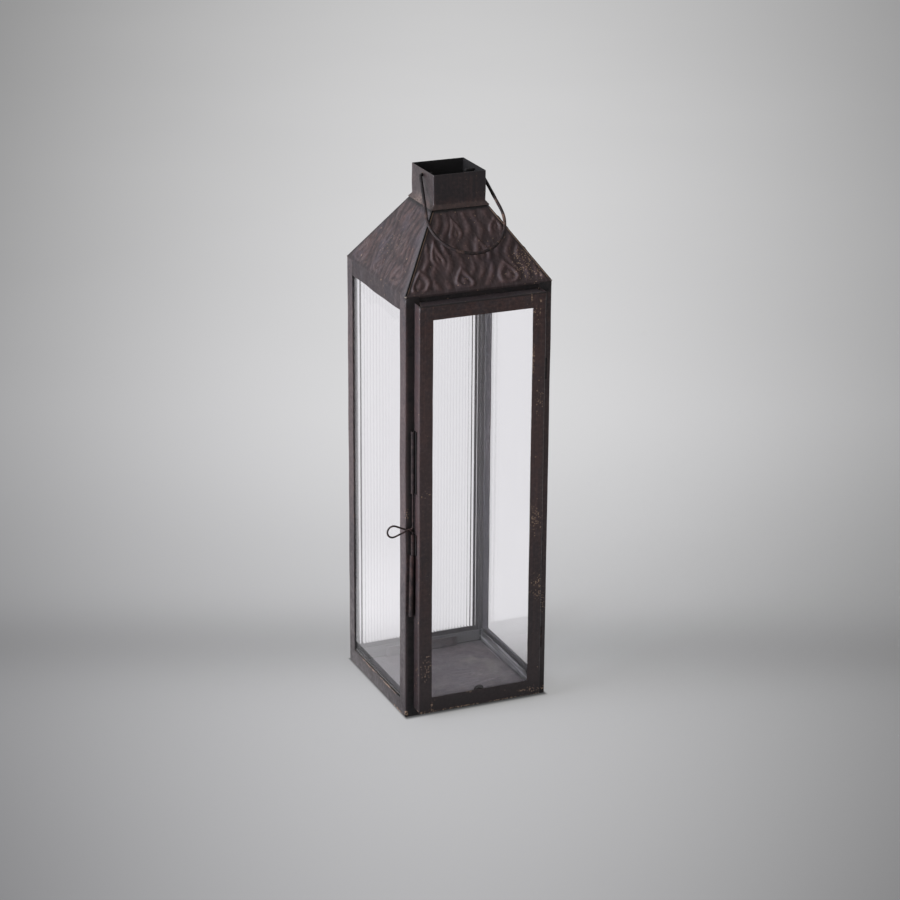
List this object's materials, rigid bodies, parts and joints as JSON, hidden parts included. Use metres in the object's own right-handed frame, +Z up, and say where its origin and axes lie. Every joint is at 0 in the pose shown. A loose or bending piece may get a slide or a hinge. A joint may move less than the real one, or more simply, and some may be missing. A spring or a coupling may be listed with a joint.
{
  "type": "candle lantern",
  "caption": "Tall square metal lantern with a pyramid roof and open square chimney, clear and reeded glass panes, a hinged glazed door with a sliding pin latch, and a swinging wire bail.",
  "frame": {"origin": "centre of the underside of the square body, on the surface that the lantern stands on", "axes": "+Z up, +X to the right along the door seen from outside, +Y from the door to the reeded back pane"},
  "size_m": [0.1932, 0.185, 0.6],
  "materials": {
    "aged_iron": "dark brown oxidised sheet iron with worn coppery edges and rust specks",
    "embossed_iron": "dark brown oxidised sheet iron embossed with waves and nested arches, worn on the ridges",
    "iron_wire": "blackened iron wire with brown wear",
    "tray_iron": "dull grey sheet iron inside the lantern",
    "clear_glass": "clear float glass",
    "reeded_glass": "vertically reeded glass"
  },
  "bodies": {
    "lantern_body": {"floor_plate": "tray_iron", "base_rail_front": "aged_iron", "base_rail_back": "aged_iron", "base_rail_left": "aged_iron", "base_rail_right": "aged_iron", "post_back_right": "aged_iron", "post_back_left": "aged_iron", "post_front_left": "aged_iron", "post_front_right": "aged_iron", "header_front": "aged_iron", "roof_front": "embossed_iron", "roof_back": "embossed_iron", "roof_left": "embossed_iron", "roof_right": "embossed_iron", "chimney": "aged_iron", "glass_strip_bottom_left": "tray_iron", "glass_strip_head_left": "tray_iron", "glass_strip_bottom_right": "tray_iron", "glass_strip_head_right": "tray_iron", "glass_strip_bottom_back": "tray_iron", "glass_strip_head_back": "tray_iron", "glass_clip_back_bottom": "tray_iron", "glass_clip_back_head": "tray_iron", "glass_left": "clear_glass", "glass_right": "clear_glass", "glass_back_reeded": "reeded_glass", "hinge_eye_post_lower": "aged_iron", "hinge_pin_lower": "iron_wire", "hinge_eye_post_upper": "aged_iron", "hinge_pin_upper": "iron_wire", "latch_keeper": "aged_iron"},
    "door": {"door_stile_left": "aged_iron", "door_stile_right": "aged_iron", "door_rail_top": "aged_iron", "door_rail_bottom": "aged_iron", "door_glass": "clear_glass", "door_clip_bottom": "aged_iron", "door_clip_top": "aged_iron", "door_clip_left": "aged_iron", "door_clip_right": "aged_iron", "hinge_eye_door_lower": "aged_iron", "hinge_eye_door_upper": "aged_iron", "latch_guide_upper": "aged_iron", "latch_guide_lower": "aged_iron"},
    "latch": {"latch_bolt": "iron_wire"},
    "bail": {"handle": "iron_wire"}
  },
  "joints": [
    {"name": "door_hinge", "type": "hinge", "parent": "lantern_body", "child": "door", "pos_m": [0.0746, -0.0876, 0.24], "axis": [0, 0, 1], "range_deg": [0, 110]},
    {"name": "latch_slide", "type": "slide", "parent": "door", "child": "latch", "axis": [0, 0, 1], "range_m": [-0.0022, 0.036]},
    {"name": "bail_swing", "type": "hinge", "parent": "lantern_body", "child": "bail", "pos_m": [0, 0, 0.594], "axis": [-1, 0, 0], "range_deg": [0, 268]}
  ]
}
